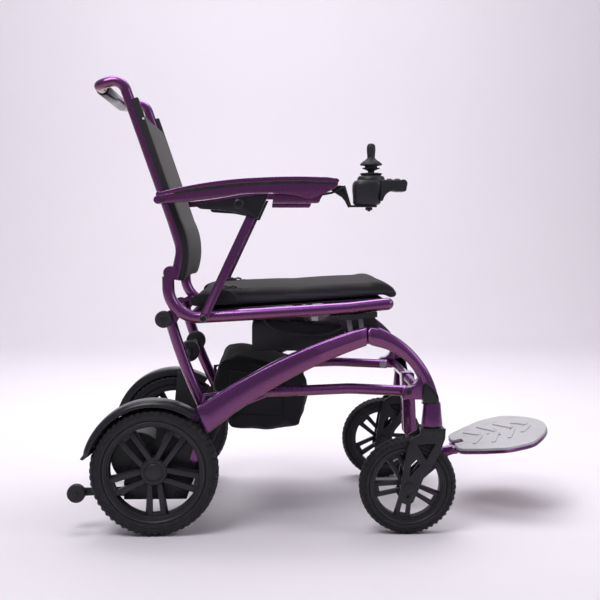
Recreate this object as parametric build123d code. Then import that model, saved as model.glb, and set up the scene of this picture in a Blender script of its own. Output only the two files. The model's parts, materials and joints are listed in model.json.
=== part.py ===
from build123d import *
import math
import os

os.makedirs("parts", exist_ok=True)

# Folding power wheelchair. Millimetres, +X forwards, +Y to the user's left, +Z up, floor at Z = 0.
# X is measured from the drive axle while modelling; save() moves it to the middle of the length.
RIGHT = -1
LEFT = 1
SIDES = {"right": RIGHT, "left": LEFT}

# Wheels
DRIVE_R = 131.5
DRIVE_RIM_R = 105.0
DRIVE_OPEN_R = 92.0
DRIVE_WIDTH = 46.0
CASTER_R = 100.0
CASTER_RIM_R = 79.0
CASTER_OPEN_R = 67.0
CASTER_WIDTH = 40.0
WHEEL_BASE = 518.0
HALF_TRACK = 255.0
CASTER_TRAIL = 49.5
ANTI_TIP_R = 19.0
ANTI_TIP_X = -165.0
ANTI_TIP_Z = 78.0

# Side frames: the rear beam, the front leg and the links between them
FRAME_IN = 240.0
FRAME_OUT = 271.0
APEX = (453.0, 405.0)
APEX_BOSS_R = 20.0
APEX_GAP = 2.0
APEX_PIN_R = 8.0
KNUCKLE = (516.0, 290.0)
LINK_Y = 225.0
LINK_R = 11.0
LINK_PIN_R = 6.0
LINK_TAIL = (215.0, 287.0)
LINK_TAIL_PIN_R = 4.0
GUIDE_SLOT_R = 5.0
GUIDE_IN = 236.6
FOLD_DEG = 48.0
REAR_TUBE = (120.0, 240.0)
REAR_TUBE_R = 14.0
DRIVE_TUBE = (48.0, 158.0)
DRIVE_TUBE_R = 15.0
RUN_FIT = 0.06

# Seat
RAIL_Y = 232.0
RAIL_R = 12.5
BACK_PIVOT = (34.0, 535.0)
POST_Y = 208.0
POST_R = 11.0
PUSH_BAR = (-112.0, 916.0)
STRUT_Y = 203.0
STRUT_R = 10.5
CUSHION_HALF_WIDTH = 222.0
ROLLER_SHAFT = (62.0, 361.0)

# Armrests
ARM_PIVOT = (21.0, 682.0)
ARM_Y = 249.0
ARM_HALF_WIDTH = 20.0
ARM_STRUT_FOOT = (101.0, 443.0)
ARM_STRUT_TOP = (205.0, 664.0)
ARM_STRUT_HALF = 4.0

# Controller on the right armrest
STICK_X = 441.0
STICK_PIVOT_Z = 728.0
POD_TOP_Z = 723.0
BUTTONS = {"speed_button": 478.0, "power_button": 494.0}

# Footplate
FOOT_HINGE = (657.0, 121.0)
FOOTPLATE_LENGTH = 216.0
FOOTPLATE_HALF_WIDTH = 165.0
FOOTPLATE_SLOPE_DEG = 12.3
FOOTPLATE_THICK = 8.0

FOOTPLATE_TIP_X = FOOT_HINGE[0] - 2 + FOOTPLATE_LENGTH * math.cos(math.radians(FOOTPLATE_SLOPE_DEG))
MID_X = (FOOTPLATE_TIP_X + ANTI_TIP_X - ANTI_TIP_R) / 2


def save(name, *solids):
    """Write one node, moved so that X = 0 is the middle of the chair's length."""
    node = Compound(children=[Pos(-MID_X, 0, 0) * solid for solid in flatten(solids)])
    export_step(node, f"parts/{name}.step")


def flatten(items):
    """The separate solids inside a list of shapes."""
    return [solid for item in items for solid in item.solids()]


def outline(*stops):
    """Closed outline in the plane Y = 0. A stop (x, z) is reached by a line,
    and a stop (x, z, via_x, via_z) by an arc through the second point."""
    edges = []
    for start, stop in zip(stops, stops[1:] + stops[:1]):
        a = Vector(start[0], 0, start[1])
        b = Vector(stop[0], 0, stop[1])
        if len(stop) == 4:
            edges.append(Edge.make_three_point_arc(a, Vector(stop[2], 0, stop[3]), b))
        else:
            edges.append(Edge.make_line(a, b))
    return Face(Wire(edges))


def prism(face, y_a, y_b):
    """The outline's prism between two Y planes."""
    return extrude(Pos(0, y_a, 0) * face, amount=y_b - y_a, dir=(0, 1, 0))


def band(face, side, y_in, y_out):
    """A prism on one side of the chair, given by its distances from the middle."""
    return prism(face, side * y_in, side * y_out)


def rod(centre, radius, y_a, y_b):
    """A round bar along Y."""
    return Pos(centre[0], (y_a + y_b) / 2, centre[1]) * Rot(90, 0, 0) * Cylinder(radius, abs(y_b - y_a))


def side_rod(centre, radius, side, y_in, y_out):
    return rod(centre, radius, side * y_in, side * y_out)


def tube(points, bends, radius):
    """A round bar along straight runs joined by tangent bends."""
    path = FilletPolyline(*points, radius=bends) if bends else Line(*points)
    section = Plane(origin=path @ 0, z_dir=path % 0) * Circle(radius)
    return sweep(section, path=path)


def side_tube(points, bends, radius, side, y):
    return tube([(x, side * y, z) for x, z in points], bends, radius)


def outer_edges(solid, side):
    """The edges round the face that points away from the middle of the chair."""
    return solid.faces().sort_by(Axis.Y)[0 if side == RIGHT else -1].edges()


def turned(arc, *profile):
    """A solid of revolution about the Y axis through an arc in degrees, from (radius, y) stops."""
    closed = zip(profile, profile[1:] + profile[:1])
    edges = [Edge.make_line((a[0], a[1], 0), (b[0], b[1], 0)) for a, b in closed]
    return revolve(Face(Wire(edges)), axis=Axis.Y, revolution_arc=arc)


# ---------------------------------------------------------------- side frames

def rear_beam(side):
    """Arched box beam from the drive unit up to the apex, with an inboard lug for the apex pin."""
    body = band(
        outline((87, 261), (434, 426, 256, 360), (434, 388), (112, 210, 277, 320)),
        side, FRAME_IN, FRAME_OUT)
    body = chamfer(outer_edges(body, side), 7)
    body -= side_rod(APEX, APEX_BOSS_R + APEX_GAP, side, FRAME_IN - 1, FRAME_OUT + 1)
    lug = band(outline((404, 388), (APEX[0], APEX[1] - 18), (APEX[0], APEX[1] + 18, APEX[0] + 18, APEX[1]),
                       (404, 412)), side, FRAME_IN - 9, FRAME_IN - 0.5)
    pad = band(outline((404, 388), (428, 390), (428, 418), (404, 412)), side, FRAME_IN - 1, FRAME_IN + 1)
    body = body + lug + pad
    return body - side_rod(APEX, APEX_PIN_R, side, FRAME_IN - 10, FRAME_IN + 1)


def front_leg(side):
    """Curved leg from the apex down to the caster barrel, with the knuckle for the lower link."""
    x, z = APEX
    r = APEX_BOSS_R
    body = band(outline((x, z + r, x - r, z), (580, 272, 526, 379), (546, 272), (x, z - r, 514, 354)),
                side, FRAME_IN, FRAME_OUT)
    body = fillet(outer_edges(body, side), 6)
    knuckle = band(outline((550, 300), (540, 275), (506, 277), (518, 308, 499, 295), (530, 325)),
                   side, FRAME_IN, FRAME_OUT - 3)
    body += knuckle
    barrel_x = WHEEL_BASE + CASTER_TRAIL
    barrel = Pos(barrel_x, side * HALF_TRACK, 248) * Cylinder(20.5, 54)
    barrel = fillet(barrel.edges().sort_by(Axis.Z)[0], 4)
    body += barrel
    body -= Pos(barrel_x, side * HALF_TRACK, 243) * Cylinder(9 + RUN_FIT, 50)
    body -= side_rod(APEX, APEX_PIN_R + RUN_FIT, side, FRAME_IN - 1, FRAME_OUT - 3)
    return body - side_rod(KNUCKLE, LINK_PIN_R, side, FRAME_IN - 1, FRAME_OUT - 6)


def leg_cap(side):
    """Teardrop trim let into the outside of the leg above the barrel."""
    face = outline((548, 311, 545, 296), (575, 275, 566, 294), (549, 275))
    return band(face, side, FRAME_OUT, FRAME_OUT + 2.5)


def apex_pin(side):
    return side_rod(APEX, APEX_PIN_R, side, FRAME_IN - 9, FRAME_OUT - 4)


def link_guide(side):
    """Plate on the inside of the beam whose curved slot leads the tail pin of the lower link."""
    ax, az = KNUCKLE[0] - APEX[0], KNUCKLE[1] - APEX[1]

    def tail(deg, offset):
        a = math.radians(deg)
        reach = 1 + offset / math.hypot(ax, az)
        px = LINK_TAIL[0] - ax + reach * (ax * math.cos(a) + az * math.sin(a))
        pz = LINK_TAIL[1] - az + reach * (-ax * math.sin(a) + az * math.cos(a))
        return px, pz

    half = GUIDE_SLOT_R
    end_a, end_b = tail(0, 0), tail(FOLD_DEG, 0)
    over = 8.0
    slot = outline((*tail(0, half), end_a[0] + half, end_a[1]),
                   (*tail(FOLD_DEG, half), *tail(FOLD_DEG / 2, half)),
                   (*tail(FOLD_DEG, -half), end_b[0] - half, end_b[1]),
                   (*tail(0, -half), *tail(FOLD_DEG / 2, -half)))
    plate = outline((end_b[0] - over - 4, end_b[1] + over), (end_b[0] - over - 4, 263), (134, 257), (170, 257),
                    (end_a[0] + over + 5, end_a[1] - over), (end_a[0] + over + 5, end_a[1] + over + 2),
                    (140, end_b[1] + over + 6))
    return band(plate, side, GUIDE_IN, FRAME_IN) - band(slot, side, GUIDE_IN - 1, FRAME_IN + 1)


def lower_link(side):
    """Arched tube from the knuckle to the slotted guide, with its tail pin."""
    tail_x, tail_z = LINK_TAIL
    link = side_tube([(KNUCKLE[0] + 10, KNUCKLE[1] - 1), (400, 295), (tail_x - 8, tail_z)], [300], LINK_R, side, LINK_Y)
    link -= side_rod(KNUCKLE, LINK_PIN_R + RUN_FIT, side, LINK_Y - LINK_R - 1, LINK_Y + LINK_R + 1)
    return link + side_rod(LINK_TAIL, LINK_TAIL_PIN_R, side, LINK_Y, FRAME_IN - 0.6)


def link_pin(side):
    """Pin of the lower link, pressed into the knuckle, with a flat head on the inboard end."""
    shank = side_rod(KNUCKLE, LINK_PIN_R, side, LINK_Y - LINK_R - 2, FRAME_OUT - 7)
    return shank + side_rod(KNUCKLE, 9, side, LINK_Y - LINK_R - 5, LINK_Y - LINK_R - 0.6)


# ---------------------------------------------------------------- drive unit

def motor_mount(side):
    """Side plate between the cross tubes and the axle, with the bracket of the anti-tip arm below."""
    plate = band(
        outline((-66, 66), (63, 66), (78, 108), (140, 226), (140, 246, 144, 236), (104, 255, 126, 258),
                (60, 196), (30, 268), (8, 272), (0, 190), (-34, 168), (-66, 104)),
        side, 223, 229)
    plate -= side_rod(REAR_TUBE, REAR_TUBE_R + 0.05, side, 222, 230)
    plate -= side_rod((0, DRIVE_R), 24, side, 222, 230)
    bracket = band(outline((-66, 66), (60, 66), (60, 90), (-66, 90)), side, 203, 223)
    return plate + bracket


def drive_motor(side):
    """Geared motor: drum behind the axle, gearbox round it, and the stub axle for the wheel."""
    drum = side_rod((-40, DRIVE_R + 20), 54, side, 128, 222.8)
    drum = fillet(drum.edges().filter_by(GeomType.CIRCLE), 5)
    gearbox = side_rod((0, DRIVE_R), 36, side, 200, 222.8)
    collar = side_rod((0, DRIVE_R), 23.9, side, 222, 230.5)
    axle = side_rod((0, DRIVE_R), 10, side, 200, 266)
    return drum + gearbox + collar + axle


def wheel_at(shape, x, z, side):
    """Put a wheel part, modelled about the Y axis with its outside to +Y, on the chair."""
    return Pos(x, side * HALF_TRACK, z) * (Rot(0, 0, 180) * shape if side == RIGHT else shape)


def spoke_pairs(count, phase, r_hub, r_rim, hub_gap, rim_gap, bar, y_in, y_out):
    """Pairs of tapering bars from the hub to the rim, closed by a block at the rim."""
    upper = outline((r_hub, hub_gap), (r_rim, rim_gap), (r_rim, rim_gap + bar), (r_hub, hub_gap + bar))
    lower = outline((r_hub, -hub_gap), (r_rim, -rim_gap), (r_rim, -rim_gap - bar), (r_hub, -hub_gap - bar))
    block = outline((r_rim - 12, -rim_gap - 2), (r_rim, -rim_gap - 2), (r_rim, rim_gap + 2), (r_rim - 12, rim_gap + 2))
    pair = prism(upper, y_in, y_out) + prism(lower, y_in, y_out) + prism(block, y_in, y_out)
    return [Rot(0, phase + 360 / count * i, 0) * pair for i in range(count)]


def drive_rim(side):
    """Moulded rim with five twin spokes, a blind hub for the stub axle and a raised centre cap."""
    half = DRIVE_WIDTH / 2 - 2
    ring = turned(360, (DRIVE_OPEN_R, -half), (DRIVE_RIM_R, -half), (DRIVE_RIM_R, half),
                  (DRIVE_RIM_R - 4, half), (DRIVE_OPEN_R + 4, half - 5), (DRIVE_OPEN_R, half - 9))
    hub = turned(360, (10 + RUN_FIT, -22), (28, -22), (28, 12), (25, 16), (24, 16), (24, 13.5), (17, 13.5),
                 (17, 16), (0, 16), (0, 12), (10 + RUN_FIT, 12))
    rim = ring + hub
    for pair in spoke_pairs(5, 21, 26, DRIVE_OPEN_R + 2, 5, 11, 8, 0, 12):
        rim += pair
    return wheel_at(rim, 0, DRIVE_R, side)


def tyre(radius, seat, width):
    """Solid tyre with rounded shoulders."""
    half = width / 2
    ring = turned(360, (seat, -half + 3), (seat + 6, -half), (radius - 9, -half), (radius - 3, -half + 5),
                  (radius, -half + 13), (radius, half - 13), (radius - 3, half - 5), (radius - 9, half),
                  (seat + 6, half), (seat, half - 3))
    return ring


def caster_rim(side):
    half = CASTER_WIDTH / 2 - 2
    ring = turned(360, (CASTER_OPEN_R, -half), (CASTER_RIM_R, -half), (CASTER_RIM_R, half),
                  (CASTER_RIM_R - 4, half), (CASTER_OPEN_R + 3, half - 4), (CASTER_OPEN_R, half - 8))
    hub = turned(360, (6 + RUN_FIT, -20), (16, -20), (16, 20), (6 + RUN_FIT, 20))
    rim = ring + hub
    for pair in spoke_pairs(5, 8, 14, CASTER_OPEN_R + 2, 4, 8, 6, -4, 10):
        rim += pair
    return wheel_at(rim, WHEEL_BASE, CASTER_R, side)


def caster_fork(side):
    """Fork of two window plates and a crown, with its stem and its axle bolt."""
    y = HALF_TRACK
    stem_x = WHEEL_BASE + CASTER_TRAIL
    plate = outline((541, 220), (540, 209), (524, 200), (515, 184), (504, 124), (500, 93), (527, 70, 505, 68),
                    (549, 122), (564, 140), (582, 175), (591, 200), (592, 220))
    window = outline((534, 188), (572, 190), (553, 155))
    slit = outline((533, 157), (522, 146), (519, 122), (542, 143))
    cheek = plate - window - slit
    crown = Pos(stem_x, side * y, 214) * Box(48, 58, 10)
    fork = band(cheek, side, y + 22, y + 28) + band(cheek, side, y - 28, y - 22)
    fork += crown
    fork += Pos(stem_x, side * y, 219.7) * Cylinder(16, 1.0)
    fork += Pos(stem_x, side * y, 240) * Cylinder(9, 48)
    fork -= side_rod((WHEEL_BASE, CASTER_R), 6, side, y - 30, y + 30)
    fork -= side_rod((WHEEL_BASE - 2, CASTER_R - 19), 3, side, y - 30, y + 30)
    bolt = side_rod((WHEEL_BASE, CASTER_R), 6, side, y - 30, y + 30)
    bolt += side_rod((WHEEL_BASE, CASTER_R), 10, side, y + 28, y + 32)
    bolt += side_rod((WHEEL_BASE, CASTER_R), 10, side, y - 32, y - 28)
    return fork, bolt


def fender(side):
    """Mudguard over the drive wheel with a rolled outer lip and an inboard flange."""
    y_in, y_out = 229.4 - HALF_TRACK, 284 - HALF_TRACK
    r_out, r_in = 148.0, 144.5
    arc = 105.0
    shell = turned(arc, (r_in, y_in), (r_out, y_in), (r_out, y_out - 8), (r_out - 6, y_out), (r_out - 12, y_out),
                   (r_out - 12, y_out - 2.5), (r_in - 4, y_out - 2.5), (r_in, y_out - 8))
    flange = turned(arc, (r_out - 20, y_in), (r_in + 1, y_in), (r_in + 1, y_in + 2), (r_out - 20, y_in + 2))
    lip = band(outline((-141.6, DRIVE_R + 43.3), (-150, DRIVE_R + 32, -145, DRIVE_R + 36), (-147.5, DRIVE_R + 29.5),
                       (-138.2, DRIVE_R + 42.2, -142.4, DRIVE_R + 34)), LEFT, y_in + 3, y_out - 3)
    guard = Rot(0, -163, 0) * (shell + flange)
    guard += Pos(0, 0, -DRIVE_R) * lip
    if side == RIGHT:
        guard = mirror(guard, about=Plane.XZ)
    return Pos(0, side * HALF_TRACK, DRIVE_R) * guard


def anti_tip_arm(side):
    """Flat arm from the mount bracket with the pin that its wheel turns on."""
    arm = band(outline((-66, 69), (-66, 88), (-120, 86), (ANTI_TIP_X, ANTI_TIP_Z + 9),
                       (ANTI_TIP_X, ANTI_TIP_Z - 9, ANTI_TIP_X - 9, ANTI_TIP_Z), (-128, 71)), side, 205, 212)
    return arm + side_rod((ANTI_TIP_X, ANTI_TIP_Z), 4, side, 205, 232)


def anti_tip_wheel(side):
    wheel = side_rod((ANTI_TIP_X, ANTI_TIP_Z), ANTI_TIP_R, side, 212.6, 230)
    wheel = fillet(wheel.edges().filter_by(GeomType.CIRCLE), 3)
    return wheel - side_rod((ANTI_TIP_X, ANTI_TIP_Z), 4 + RUN_FIT, side, 211, 231)


# ---------------------------------------------------------------- seat

def seat_rail(side):
    """Tube that curls up behind the seat and ends in the boss of the backrest pivot."""
    rail = side_tube([(29, 528), (30, 440.5), (298, 455.5), (400, 462), (478, 470.5)], [61, 300, 300],
                     RAIL_R, side, RAIL_Y)
    rail += side_rod(BACK_PIVOT, 14, side, RAIL_Y - RAIL_R, RAIL_Y + RAIL_R)
    nose = Pos(478, side * RAIL_Y, 470.5) * Sphere(RAIL_R)
    return rail + nose - side_rod(BACK_PIVOT, 5, side, RAIL_Y - RAIL_R - 1, RAIL_Y + 6)


def seat_strut(side):
    """Curved tube from the rear cross tube up to the seat rail, with the plate that carries the buffer."""
    strut = side_tube([(27, 446), (66, 330), (102, 242)], [200], STRUT_R, side, STRUT_Y)
    head = band(outline((8, 439, 10, 430), (20, 452, 10, 449), (40, 462), (56, 452), (44, 432), (20, 427)),
                side, STRUT_Y, STRUT_Y + 8)
    foot = side_rod(REAR_TUBE, REAR_TUBE_R + 6, side, STRUT_Y - 9, STRUT_Y + 9)
    strut = strut + head + foot
    return strut - side_rod(REAR_TUBE, REAR_TUBE_R + 0.05, side, STRUT_Y - 12, STRUT_Y + 12)


def frame_pins(side):
    """Bolts of the seat frame: strut to rail, backrest pivot, and apex pin."""
    strut_bolt = side_rod((46, 456), 4, side, STRUT_Y + 8, RAIL_Y - 7)
    pivot_bolt = side_rod(BACK_PIVOT, 5, side, POST_Y - POST_R - 3, RAIL_Y + 5)
    pivot_bolt += side_rod(BACK_PIVOT, 9, side, POST_Y - POST_R - 6, POST_Y - POST_R - 2.5)
    return strut_bolt, pivot_bolt, apex_pin(side)


def seat_bracket(side):
    """Saddle and web that stand the seat rail on the beam's apex lug."""
    saddle = band(outline((360, 440), (360, 446.8), (400, 448.6), (456, 454.6), (456, 444), (400, 438)),
                  side, RAIL_Y - 10, RAIL_Y + 10)
    web = band(outline((372, 441), (450, 446), (462, 405, 460, 425), (430, 392), (404, 392)),
               side, FRAME_IN - 16, FRAME_IN - 9.05)
    web -= side_rod(APEX, 12.5, side, FRAME_IN - 17, FRAME_IN - 8)
    return saddle + web


def seat_base():
    """Cross tubes between the rails, and the panel that the cushion rests on."""
    bars = [rod((x, z), 8, -RAIL_Y + 6, RAIL_Y - 6) for x, z in ((120, 445), (300, 455.5), (440, 466))]
    panel = prism(outline((76, 456), (470, 482), (470, 479), (76, 453)), -217, 217)
    for x, z in ((120, 445), (300, 455.5), (440, 466)):
        panel -= rod((x, z), 8, -218, 218)
    return panel, *bars


def seat_cushion():
    """Plain padded block with a rounded nose and a rounded rear edge."""
    profile = outline((80, 462), (74, 478, 74, 470), (112, 508, 86, 499), (298, 516, 205, 513),
                      (443, 523, 370, 520), (505, 504, 486, 520), (480, 488, 504, 490), (298, 473.5, 400, 480.5))
    return prism(profile, -CUSHION_HALF_WIDTH, CUSHION_HALF_WIDTH)


def lap_belt(side):
    """Folded lap-belt pad lying against the side of the cushion."""
    face = outline((76, 464), (74, 486), (108, 504, 88, 498), (160, 506, 136, 513), (175, 470))
    return band(face, side, CUSHION_HALF_WIDTH + 1.5, CUSHION_HALF_WIDTH + 15)


def battery_box():
    """Hollow case for the pack and the motor electronics, hung under the seat panel."""
    case = prism(outline((198, 365), (198, 428), (300, 428), (396, 414), (396, 365)), -150, 150)
    case = fillet(case.edges().filter_by(Axis.Y), 10)
    inside = prism(outline((203, 370), (203, 420), (300, 420), (391, 407), (391, 370)), -145, 145)
    hangers = Pos(300, 0, 439) * Box(20, 280, 24) - rod((300, 455.5), 8, -150, 150)
    return case - inside + hangers


def battery_pack():
    return Pos(286, 0, 390) * Box(150, 240, 36)


def slide_bars(side):
    """Bright latch bars under the cross tubes, with their stop block."""
    bar = Pos(314, side * 162, 448) * Box(104, 12, 5)
    bar -= rod((300, 455.5), 8, -170, 170)
    block = Pos(331, side * 162, 438) * Box(14, 12, 15)
    return bar + block


def storage_bag():
    """Outer shape of the soft bag slung between the beams, behind and below the battery."""
    profile = outline((106, 300), (121, 338), (136, 354, 127, 349), (178, 350), (262, 326), (289, 317), (312, 314),
                      (320, 304, 319, 311), (309, 260), (297, 216), (268, 207, 286, 208), (160, 207), (146, 250))
    return prism(profile, -172, 172)


def transport_roller(y):
    """Rubber buffer wheel on the roller shaft."""
    wheel = rod(ROLLER_SHAFT, 22.5, y - 12, y + 12)
    wheel = fillet(wheel.edges().filter_by(GeomType.CIRCLE), 4)
    return wheel - rod(ROLLER_SHAFT, 7.05, y - 13, y + 13)


def side_buffer(side):
    """Round buffer with a centre screw, bolted to the strut's head plate."""
    disc = side_rod((18, 439), 17.5, side, STRUT_Y + 11, STRUT_Y + 27)
    disc = fillet(disc.edges().filter_by(GeomType.CIRCLE), 3)
    return disc + side_rod((18, 439), 8, side, STRUT_Y + 8, STRUT_Y + 12)


def seat_cable():
    """Motor lead that sags below the seat between two clips on the panel."""
    points = [(222, 462.3), (224, 432), (246, 414), (280, 405), (324, 402), (364, 405), (396, 420), (402, 450), (402, 474)]
    points = [(x, -176, z) for x, z in points]
    return tube(points, [20, 30, 60, 90, 80, 40, 22], 3)


# ---------------------------------------------------------------- backrest

def back_frame():
    """One bent tube: both posts, the handle bows and the push bar, with pivot bosses and a lower bar."""
    side_route = [(42, 520), (55, 582), (37, 640), (-64, 930), (PUSH_BAR[0], PUSH_BAR[1])]
    right = [(x, -POST_Y, z) for x, z in side_route]
    left = [(x, POST_Y, z) for x, z in reversed(side_route)]
    frame = tube(right + left, [60, 70, 26, 20, 20, 26, 70, 60], POST_R)
    for side in SIDES.values():
        boss = side_rod(BACK_PIVOT, 14, side, POST_Y - POST_R, POST_Y + POST_R)
        frame += boss
        frame -= side_rod(BACK_PIVOT, 5 + RUN_FIT, side, POST_Y - POST_R - 1, POST_Y + POST_R + 1)
    frame += rod((52.5, 585), 7, -POST_Y, POST_Y)
    return frame


def push_grip():
    """Rubber sleeve on the push bar."""
    sleeve = rod(PUSH_BAR, POST_R + 3, -150, 150)
    return sleeve - rod(PUSH_BAR, POST_R + 0.05, -151, 151)


def back_cover():
    """Padded sling between the posts, with the posts' own lean and curve."""
    profile = outline((-56, 850), (-40, 856), (45, 642), (50, 512, 63, 582), (38, 506), (26, 640, 46, 578))
    sling = prism(profile, -POST_Y + POST_R + 1, POST_Y - POST_R - 1)
    return sling - rod((52.5, 585), 7.1, -POST_Y, POST_Y)


# ---------------------------------------------------------------- armrests

def armrest(side):
    """Moulded armrest with the pivot boss at the back and a groove for the sliding clamp below."""
    face = outline((30, 672, 8, 684), (176, 694, 100, 681.5), (344, 696), (379, 717, 366, 703),
                   (358, 727, 372, 725.5), (217, 727, 290, 730), (22, 696, 110, 716))
    arm = band(face, side, ARM_Y - ARM_HALF_WIDTH, ARM_Y + ARM_HALF_WIDTH)
    arm += side_rod(ARM_PIVOT, 8, side, POST_Y + POST_R + 0.5, ARM_Y - ARM_HALF_WIDTH + 1)
    groove = band(outline((100, 690), (330, 708), (330, 705), (100, 687)), side, ARM_Y + ARM_HALF_WIDTH - 1.2,
                  ARM_Y + ARM_HALF_WIDTH + 1)
    return arm - groove


def arm_clamp(side):
    """Clamp with a lever handle that slides under the armrest; the strut's head turns in its slot."""
    face = outline((92, 667), (97, 674.5, 92, 673), (130, 679), (170, 685.5), (214, 693), (234, 693.4), (226, 676),
                   (214, 650), (206, 646, 210, 645), (196, 652), (150, 661), (97, 664.5))
    body = band(face, side, ARM_Y - 13, ARM_Y + 13)
    slot = band(outline((84, 640), (240, 640), (240, 677), (84, 677)), side, ARM_Y - ARM_STRUT_HALF - 0.6,
                ARM_Y + ARM_STRUT_HALF + 0.6)
    knob = side_rod((174, 676), 9, side, ARM_Y + 13, ARM_Y + 17)
    return body - slot + knob


def arm_strut(side):
    """Flat strut from the seat rail to the armrest's clamp."""
    length = math.dist(ARM_STRUT_FOOT, ARM_STRUT_TOP)
    tilt = math.degrees(math.atan2(ARM_STRUT_TOP[1] - ARM_STRUT_FOOT[1], ARM_STRUT_TOP[0] - ARM_STRUT_FOOT[0]))
    r = 9.0
    bar = prism(outline((0, r, -r, 0), (length, r), (length, -r, length + r, 0), (0, -r)),
                -ARM_STRUT_HALF, ARM_STRUT_HALF)
    bar = Pos(ARM_STRUT_FOOT[0], side * ARM_Y, ARM_STRUT_FOOT[1]) * Rot(0, -tilt, 0) * bar
    return bar - side_rod(ARM_STRUT_FOOT, 4 + RUN_FIT, side, ARM_Y - 6, ARM_Y + 6)


def strut_bolt(side):
    """Shoulder bolt of the arm strut, screwed into the side of the seat rail."""
    shank = side_rod(ARM_STRUT_FOOT, 4, side, RAIL_Y + 8, ARM_Y + 5)
    return shank + side_rod(ARM_STRUT_FOOT, 7.5, side, ARM_Y + 4.5, ARM_Y + 8)


# ---------------------------------------------------------------- controller

def controller_bracket():
    """Bent plate from the armrest's nose to the underside of the controller."""
    plate = outline((340, 691), (363, 695), (385, 706), (397, 668), (452, 668), (452, 672), (400, 672),
                    (388, 712), (364, 699.5), (340, 695.4))
    return prism(plate, -ARM_Y - 13, -ARM_Y + 13)


def controller_pod():
    """Joystick housing with its forward switch panel, pierced for the joystick's gimbal."""
    body = Pos(433, -ARM_Y, 697.5) * Box(58, 60, 50.5)
    body = fillet(body.edges().filter_by(Axis.Z), 18)
    panel = prism(outline((434, POD_TOP_Z), (504, POD_TOP_Z), (512, 712, 511, 720), (508, 699), (482, 700, 494, 698),
                          (462, 676, 468, 694), (434, 676)), -ARM_Y - 28, -ARM_Y + 28)
    pod = body + panel
    pod = pod + Pos(STICK_X, -ARM_Y, POD_TOP_Z + 4) * Cylinder(27, 8.2)
    pod -= Pos(STICK_X, -ARM_Y, POD_TOP_Z) * Cylinder(14, 20)
    for x in BUTTONS.values():
        pod -= Pos(x, -ARM_Y, POD_TOP_Z) * Cylinder(5.3, 10)
    return pod


def button(x):
    return Pos(x, -ARM_Y, POD_TOP_Z) * Cylinder(5, 5)


def joystick_boot():
    """Fixed base ring of the rubber boot."""
    return Pos(STICK_X, -ARM_Y, 732.9) * (Cylinder(22, 3.6) - Cylinder(13, 6))


def gimbal_ring():
    return Pos(STICK_X, -ARM_Y, STICK_PIVOT_Z) * (Cylinder(10.5, 5) - Cylinder(7, 6))


def joystick():
    """Stick, the boot's moving folds and the knob."""
    stick = Pos(STICK_X, -ARM_Y, 733) * Cylinder(4, 20)
    knob = Rot(90, 0, 0) * turned(360, (0, 742), (13, 744), (18.5, 744), (18.5, 748.5), (13, 750), (13, 751.5),
                                  (21.5, 752.5), (21.5, 756.5), (10, 759), (7, 763), (7.5, 775), (8.8, 784),
                                  (8, 791), (5, 795), (0, 796))
    return stick + Pos(STICK_X, -ARM_Y, 0) * knob


# ---------------------------------------------------------------- footrest

def footrest_hanger():
    """Cross tube between the legs, with the stalk that reaches forward to the footplate's hinge."""
    cross = rod((548, 288), 10, -FRAME_IN, FRAME_IN)
    block = prism(outline((534, 300), (562, 300), (568, 160), (540, 160)), -22, 22)
    block = fillet(block.edges().filter_by(Axis.Y), 5)
    stalk = tube([(552, 0, 170), (566, 0, 112), (FOOT_HINGE[0] - 14, 0, FOOT_HINGE[1] - 8)], [34], 11)
    eye = rod(FOOT_HINGE, 9, -16, 16)
    web = prism(outline((628, 103), (628, 124), (657, 130), (662, 113)), -11, 11)
    hanger = cross + block + stalk + web + eye
    return hanger - rod(FOOT_HINGE, 5, -17, 17)


def footplate():
    """Shield-shaped plate and the tray below it, notched at the hinge to clear the stalk when folded up."""
    w = FOOTPLATE_HALF_WIDTH
    length = FOOTPLATE_LENGTH
    stops = [(0, -80), (48, -128), (96, -w), (150, -w), (length, 0), (150, w), (96, w), (48, 128), (0, 80)]
    edges = [Edge.make_line((*a, 0), (*b, 0)) for a, b in zip(stops[:3], stops[1:4])]
    edges.append(Edge.make_three_point_arc((150, -w, 0), (length, 0, 0), (150, w, 0)))
    edges += [Edge.make_line((*a, 0), (*b, 0)) for a, b in zip(stops[5:8], stops[6:9])]
    edges.append(Edge.make_line((0, 80, 0), (0, -80, 0)))
    plan = Face(Wire(edges))
    plan = plan.fillet_2d(18, [v for v in plan.vertices() if v.X < 149])
    plate = extrude(plan, amount=FOOTPLATE_THICK, dir=(0, 0, 1))
    tray = extrude(Pos(0, 0, -4) * offset(plan, amount=-5), amount=4, dir=(0, 0, 1))
    notch = Pos(8, 0, 0) * Box(32, 38, 40)
    return plate - notch, tray - notch


def footplate_parts():
    """Plate and underframe in place at their slope, with the hinge lugs on the underframe."""
    seat = Pos(FOOT_HINGE[0] - 2, 0, FOOT_HINGE[1] + 9) * Rot(0, -FOOTPLATE_SLOPE_DEG, 0)
    plate, tray = footplate()
    tray = seat * tray
    for y in (-24, 24):
        tray += prism(outline((650, 121), (664, 121, 657, 112), (668, 130), (650, 127)), y - 7, y + 7)
    tray -= rod(FOOT_HINGE, 5 + RUN_FIT, -40, 40)
    tray -= rod(FOOT_HINGE, 10, -16.6, 16.6)
    return seat * plate, tray


def foot_pin():
    return rod(FOOT_HINGE, 5, -33, 33)


# ---------------------------------------------------------------- write every node

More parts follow.
